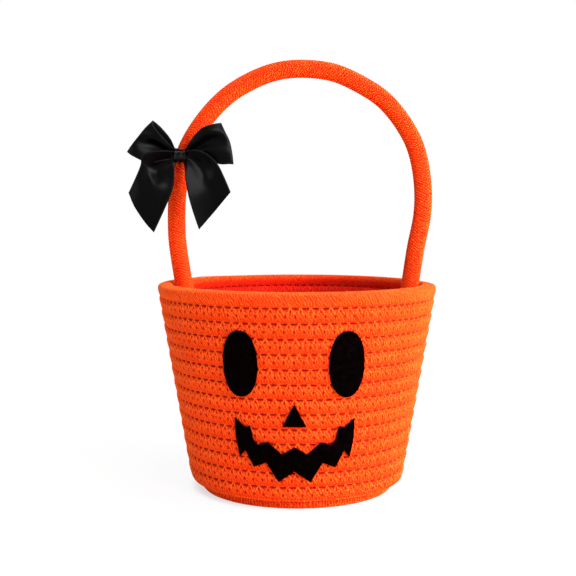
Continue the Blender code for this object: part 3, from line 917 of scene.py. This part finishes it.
def spline(points, steps):
    """Return points along a smooth curve that passes through the given ones."""
    ends = [points[0] * 2 - points[1], *points, points[-1] * 2 - points[-2]]
    curve = []
    for a, b, c, d in zip(ends, ends[1:], ends[2:], ends[3:]):
        for k in range(steps):
            t = k / steps
            curve.append(0.5 * (
                2 * b + (c - a) * t + (2 * a - 5 * b + 4 * c - d) * t ** 2
                + (3 * b - a - 3 * c + d) * t ** 3
            ))
    curve.append(points[-1])
    return curve


def wall_radius(height):
    """Return the radius of the wall's rope centre line at a height."""
    bottom = BASE_HEIGHT + CORNER_STEP * math.sin(CORNER_ANGLE)
    return BOTTOM_ROW_RADIUS + (height - bottom) * math.tan(WALL_LEAN)


def fuzz_edge(bm, outline):
    """Stand short fibres out of a felt shape's cut edge."""
    root, tip = FIBRE_THICKNESS
    ring = [Vector((x, 0.0, z)) for x, z in outline]
    sides = list(zip(ring, ring[1:] + ring[:1]))
    area = sum(one.x * other.z - other.x * one.z for one, other in sides)
    for one, other in sides:
        edge = other - one
        out = Vector((edge.z, 0.0, -edge.x)).normalized() * math.copysign(1.0, area)
        count = max(round(edge.length / FIBRE_STEP), 1)
        for k in range(count):
            place = one.lerp(other, (k + 0.5) / count)
            wild = noise.noise_vector(place * 2.7)
            reach = FIBRE_LENGTH + abs(wild.y) * FIBRE_LENGTH_RANGE
            along = (out + Vector((wild.x, 0.3 * wild.z, wild.y)) * FIBRE_WILDNESS).normalized()
            place.y = FIBRE_MIDDLE + 0.5 * wild.z
            matrix = Matrix.Translation((place + along * reach * 0.4) * MM)
            matrix @= along.to_track_quat("Z", "Y").to_matrix().to_4x4()
            bmesh.ops.create_cone(
                bm, cap_ends=True, segments=3, radius1=root * MM, radius2=tip * MM,
                depth=reach * MM, matrix=matrix)


def felt_piece(name, outline, turn, node):
    """Cut a felt shape and lay it round the wall."""
    bm = bmesh.new()
    corners = [bm.verts.new((x * MM, 0.0, z * MM)) for x, z in outline]
    bm.faces.new(corners)
    cuts = [((k * FELT_CUT_WIDTH * MM, 0, 0), (1, 0, 0)) for k in FELT_CUTS_ACROSS]
    cuts += [((0, 0, k * FELT_CUT_HEIGHT * MM), (0, 0, 1)) for k in FELT_CUTS_UP]
    for place, normal in cuts:
        geometry = bm.verts[:] + bm.edges[:] + bm.faces[:]
        bmesh.ops.bisect_plane(bm, geom=geometry, plane_co=place, plane_no=normal)
    for vert in bm.verts:
        if vert.is_boundary:
            frayed = noise.noise_vector(vert.co * 900.0) * FELT_FRAY * MM
            vert.co += Vector((frayed.x, 0.0, frayed.z))
    grown = bmesh.ops.extrude_face_region(bm, geom=bm.faces[:])
    for part in grown["geom"]:
        if isinstance(part, bmesh.types.BMVert):
            part.co.y = sizes().felt
    fuzz_edge(bm, outline)
    bmesh.ops.triangulate(bm, faces=bm.faces)
    lift = sizes().rope_depth / math.cos(WALL_LEAN) + FELT_LIFT * MM
    for vert in bm.verts:
        row = (vert.co.z - FIRST_SEAM_HEIGHT) / (PITCH * math.cos(WALL_LEAN))
        sag = (0.5 - 0.5 * math.cos(math.tau * row)) * FELT_SAG * MM
        radius = wall_radius(vert.co.z) + lift + vert.co.y - sag
        angle = FACE_TURN + turn + vert.co.x / radius - math.pi / 2
        vert.co = Vector((radius * math.cos(angle), radius * math.sin(angle), vert.co.z))
    bmesh.ops.recalc_face_normals(bm, faces=bm.faces)
    if bm.calc_volume(signed=True) < 0.0:
        bmesh.ops.reverse_faces(bm, faces=bm.faces)
    piece = finished(name, bm, felt_finish())
    piece.data.set_sharp_from_angle(angle=math.radians(50.0))
    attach(piece, "basket")
    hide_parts(node)


def patch_points(rows, along, across):
    """Return a smooth grid of points through rows given from the knot in millimetres."""
    lines = [spline([KNOT + Vector(point) * MM for point in row], across) for row in rows]
    columns = [spline(list(column), along) for column in zip(*lines)]
    return list(zip(*columns))


def ribbon_piece(name, rows, node):
    """Lay a ribbon along rows of points that run across it."""
    grid = patch_points(rows, *RIBBON_STEPS)
    last, across = len(grid) - 1, len(grid[0]) - 1

    def place(u, v):
        return grid[round(u * last)][round(v * across)]

    bm = laid_grid(last, across, place, {"ribbon": lambda u, v, _: (u, v)}, False)
    piece = finished(name, bm, satin_finish())
    thick = piece.modifiers.new("thickness", "SOLIDIFY")
    thick.thickness = RIBBON_THICKNESS
    thick.offset = 0.0
    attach(piece, "bow")
    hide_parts(node)


class BASKET_OT_stage(bpy.types.Operator):
    """Set the camera, the lights and the white floor"""

    bl_idname = "basket.stage"
    bl_label = "Stage"

    def execute(self, context):
        """Build the stage."""
        scene = context.scene
        lens = bpy.data.cameras.new("camera")
        lens.lens = LENS
        lens.sensor_width = SENSOR
        camera = bpy.data.objects.new("camera", lens)
        camera.location = CAMERA_PLACE
        camera.rotation_euler = (math.radians(90.0) - CAMERA_DOWN, 0.0, 0.0)
        scene.collection.objects.link(camera)
        scene.camera = camera
        scene.view_settings.view_transform = "Standard"
        for name, place, size, power, tint in LAMPS:
            lamp = bpy.data.lights.new(name, "AREA")
            lamp.size = size
            lamp.energy = power
            lamp.color = tint
            light = bpy.data.objects.new(name, lamp)
            light.location = place
            aim = LAMPS_AIM - Vector(place)
            light.rotation_euler = aim.to_track_quat("-Z", "Y").to_euler()
            scene.collection.objects.link(light)
        world = bpy.data.worlds.new("studio")
        world.use_nodes = True
        tree = world.node_tree
        level = tree.nodes.new("ShaderNodeMapRange")
        level.inputs["To Min"].default_value = WORLD_LEVEL
        level.inputs["To Max"].default_value = 1.0
        tree.links.new(backdrop_rays(tree), level.inputs["Value"])
        tree.links.new(level.outputs[0], tree.nodes["Background"].inputs["Strength"])
        tree.nodes["Background"].inputs["Color"].default_value = WHITE
        scene.world = world
        bm = bmesh.new()
        bmesh.ops.create_grid(bm, x_segments=1, y_segments=1, size=FLOOR_SIZE)
        floor = finished("floor", bm, floor_finish(), False)
        return {"FINISHED"}


class BASKET_OT_coils(bpy.types.Operator):
    """Wind the basket's rope and sew its turns"""

    bl_idname = "basket.coils"
    bl_label = "Coiled rope"

    def execute(self, context):
        """Build the base, the wall and the sewing thread."""
        stations, wall_start = rope_line()
        lengths = lengths_along([station.centre for station in stations])
        before = [lengths[max(i - TURN_STEPS, 0)] for i in range(len(lengths))]
        line = (stations, lengths, before)
        cord = sewn_cord_finish()
        base = rope_piece("base_rope", line, 0, wall_start + 1, BASE_SIDES, cord)
        wall = rope_piece("wall_rope", line, wall_start, len(stations), WALL_SIDES, cord)
        last = len(stations) - TURN_STEPS - 2
        shades = colours()
        # The outer thread's twist is lightened towards the painted highlight, and the inner
        # thread is in painted shade
        thread = thread_finish("orange_thread", shades.rope, shades.rope_highlight)
        shaded = thread_finish("orange_thread_inside", shades.rope_inside_shade, shades.rope_shade)
        outer = seam_points(stations, lengths, wall_start, last, 1.0)
        inner = seam_points(stations, lengths, wall_start - TURN_STEPS, last, -1.0)
        seams = (
            thread_piece("wall_stitches", outer, thread),
            thread_piece("wall_stitches_inside", inner, shaded),
        )
        for piece in (base, wall, *seams):
            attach(piece, "basket")
        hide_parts("base_coil")
        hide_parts("wall_coil")
        return {"FINISHED"}


class BASKET_OT_handle(bpy.types.Operator):
    """Braid the handle's rope from foot to foot"""

    bl_idname = "basket.handle"
    bl_label = "Handle"

    def execute(self, context):
        """Build the handle."""
        radius = sizes().handle_radius
        line = spline([Vector((x, 0.0, z)) * MM for x, z in HANDLE_LINE], HANDLE_STEPS)
        last = len(line) - 1
        total = lengths_along(line)

        def relief(at, share):
            column, part = divmod(share * HANDLE_COLUMNS + HANDLE_OFFSET, 1.0)
            lean = (2.0 * (column % 2) - 1.0) * (part - 0.5) * HANDLE_SLOPE
            ridge = 0.5 + 0.5 * math.sin(math.tau * (total[at] / HANDLE_STRAND + lean))
            return ridge * (PLAIT_EDGE + PLAIT_RISE * math.sin(math.pi * part))

        def place(u, v):
            at = round(u * last)
            along = (line[min(at + 1, last)] - line[max(at - 1, 0)]).normalized()
            side = Vector((along.z, 0.0, -along.x))
            turn = math.tau * v
            out = side * math.cos(turn) + Vector((0.0, math.sin(turn), 0.0))
            height = radius + (relief(at, v % 1.0) - PLAIT_EDGE) * HANDLE_RELIEF * MM
            return line[at] + out * height

        def plait(u, v, _):
            return total[round(u * last)] / HANDLE_STRAND, v * HANDLE_COLUMNS + HANDLE_OFFSET

        sides = HANDLE_COLUMNS * HANDLE_COLUMN_SIDES
        bm = laid_grid(last, sides, place, {"braid": plait}, True)
        rope = finished("handle_rope", bm, handle_cord_finish())
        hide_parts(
            "handle_foot_left", "handle_bend_left", "handle_arch", "handle_bend_right",
            "handle_foot_right")
        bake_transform(rope)
        return {"FINISHED"}


class BASKET_OT_face(bpy.types.Operator):
    """Cut the felt eyes, nose and mouth and lay them on the wall"""

    bl_idname = "basket.face"
    bl_label = "Felt face"

    def execute(self, context):
        """Build the four felt pieces."""

        def oval(lean):
            points = []
            for k in range(EYE_CORNERS):
                turn = math.tau * k / EYE_CORNERS
                across = signed_power(math.cos(turn), 2.0 / EYE_SQUARENESS) * EYE_HALF_WIDTH
                rise = signed_power(math.sin(turn), 2.0 / EYE_SQUARENESS) * EYE_HALF_HEIGHT
                points.append((EYE_SHIFT + across + lean * rise, EYE_HEIGHT + rise))
            return points

        mouth = list(MOUTH_HALF) + [(-x, z) for x, z in MOUTH_HALF[-2:0:-1]]
        felt_piece("eye_left", oval(EYE_LEAN), -EYE_ANGLE, "felt_eye_left")
        felt_piece("eye_right", oval(-EYE_LEAN), EYE_ANGLE, "felt_eye_right")
        felt_piece("nose", list(NOSE), 0.0, "felt_nose")
        felt_piece("mouth", mouth, 0.0, "felt_mouth")
        return {"FINISHED"}


class BASKET_OT_bow(bpy.types.Operator):
    """Tie the satin bow on the handle's left leg"""

    bl_idname = "basket.bow"
    bl_label = "Satin bow"

    def execute(self, context):
        """Build the bow's loops, tails, band and knot."""
        ribbon_piece("loop_left", LOOP_LEFT, "bow_loop_left")
        ribbon_piece("loop_right", LOOP_RIGHT, "bow_loop_right")
        ribbon_piece("tail_left", TAIL_LEFT, "bow_tail_left")
        ribbon_piece("tail_right", TAIL_RIGHT, "bow_tail_right")
        self.band()
        self.knot()
        return {"FINISHED"}

    def band(self):
        """Wrap the ribbon's turn round the handle."""
        side = Vector((KNOT_ALONG.z, 0.0, -KNOT_ALONG.x))

        def around(u, v):
            turn = math.tau * u
            edge = math.tau * v
            radius = (BAND_RADIUS + BAND_HALF_THICKNESS * math.cos(edge)) * MM
            shift = KNOT_ALONG * (BAND_HALF_WIDTH * math.sin(edge) - BAND_SHIFT) * MM
            out = side * math.cos(turn) + Vector((0.0, math.sin(turn), 0.0))
            return KNOT + out * radius + shift

        bm = laid_grid(64, 16, around, {"ribbon": lambda u, v, _: (u, v)}, True)
        band = finished("bow_band_satin", bm, satin_finish())
        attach(band, "bow")
        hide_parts("bow_band")

    def knot(self):
        """Wrap the knot over the middle of the loops and the tails."""

        def wrapped(u, v):
            turn = math.tau * u
            shift = (v - 0.5) * KNOT_LENGTH - KNOT_LEFT
            pull = 1.0 + 0.05 * math.cos(4 * math.pi * v)
            out = signed_power(math.cos(turn), 0.8) * KNOT_RADIUS * pull
            up = signed_power(math.sin(turn), 0.7) * KNOT_RADIUS * pull
            return KNOT + Vector((shift, -KNOT_FORWARD - out, up - KNOT_DOWN)) * MM

        bm = laid_grid(48, 14, wrapped, {"ribbon": lambda u, v, _: (v, u)}, True)
        knot = finished("bow_knot_satin", bm, satin_finish())
        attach(knot, "bow")
        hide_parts("bow_knot")


class BASKET_PT_panel(bpy.types.Panel):
    """List the basket's steps, sizes and colours"""

    bl_idname = "BASKET_PT_panel"
    bl_label = "Rope Basket"
    bl_space_type = "VIEW_3D"
    bl_region_type = "UI"
    bl_category = "Rope Basket"

    def draw(self, context):
        """Draw the panel."""
        for step in STEPS:
            self.layout.operator(step.bl_idname)
        for group in (context.scene.basket_sizes, context.scene.basket_colours):
            for name in group.__annotations__:
                self.layout.prop(group, name)


STEPS = (BASKET_OT_stage, BASKET_OT_coils, BASKET_OT_handle, BASKET_OT_face, BASKET_OT_bow)
CLASSES = (BasketSizes, BasketColours, *STEPS, BASKET_PT_panel)


def register():
    """Register the add-on's classes and its scene settings."""
    for made in CLASSES:
        bpy.utils.register_class(made)
    bpy.types.Scene.basket_sizes = bpy.props.PointerProperty(type=BasketSizes)
    bpy.types.Scene.basket_colours = bpy.props.PointerProperty(type=BasketColours)


def unregister():
    """Take the add-on's classes and settings away again."""
    del bpy.types.Scene.basket_colours
    del bpy.types.Scene.basket_sizes
    for made in reversed(CLASSES):
        bpy.utils.unregister_class(made)


def main():
    """Register the add-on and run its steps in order."""
    register()
    bpy.ops.basket.stage()
    bpy.ops.basket.coils()
    bpy.ops.basket.handle()
    bpy.ops.basket.face()
    bpy.ops.basket.bow()


if __name__ == "__main__":
    main()
